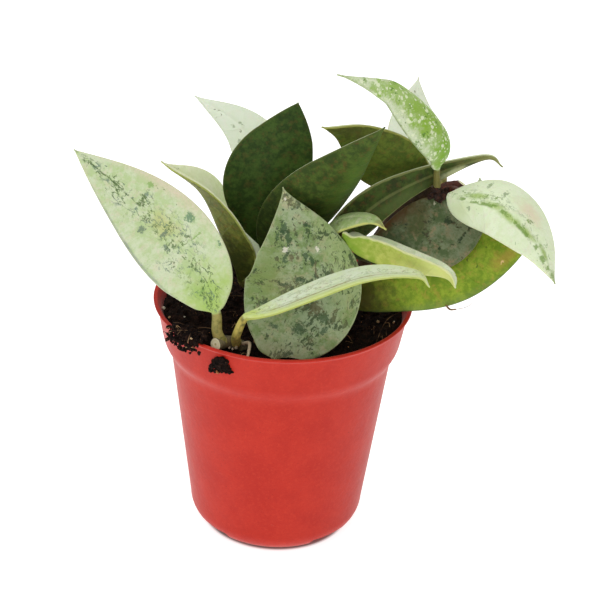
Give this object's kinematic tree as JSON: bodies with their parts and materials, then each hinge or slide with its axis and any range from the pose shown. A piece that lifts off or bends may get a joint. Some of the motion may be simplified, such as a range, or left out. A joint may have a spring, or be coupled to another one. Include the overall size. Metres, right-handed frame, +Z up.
{
  "type": "potted hoya plant",
  "caption": "Young hoya with broad, pointed, silver-flecked leaves in a small red round plastic nursery pot filled with dark peat.",
  "frame": {"origin": "middle of the flat underside of the pot, where it stands", "axes": "+Z up along the pot's axis; the plant's front, as pictured, faces -Y"},
  "size_m": [0.1081, 0.0613, 0.1162],
  "materials": {
    "pot_plastic": "satin red moulded plastic, slightly mottled",
    "peat": null,
    "stem_bark": "smooth olive to brown green stem",
    "leaf_silver": null,
    "leaf_pale": null,
    "leaf_dark": null,
    "leaf_bright": null,
    "leaf_patched": null
  },
  "bodies": {
    "root": {"pot": "pot_plastic", "soil": "peat", "stem_front": "stem_bark", "stem_left": "stem_bark", "stem_centre": "stem_bark", "stem_right": "stem_bark", "leaf_front_left": "leaf_silver", "leaf_left_folded": "leaf_bright", "leaf_back_left": "leaf_pale", "leaf_back_dark": "leaf_dark", "leaf_back_centre": "leaf_dark", "leaf_front_broad": "leaf_silver", "leaf_front_arched": "leaf_pale", "leaf_centre_folded": "leaf_bright", "leaf_centre_small": "leaf_pale", "leaf_right_back": "leaf_dark", "leaf_top": "leaf_patched", "leaf_top_back": "leaf_pale", "leaf_right_dark": "leaf_dark", "leaf_right_shaded": "leaf_silver", "leaf_right_low": "leaf_bright", "leaf_right_end": "leaf_pale", "leaf_right_young": "leaf_pale"}
  },
  "joints": []
}
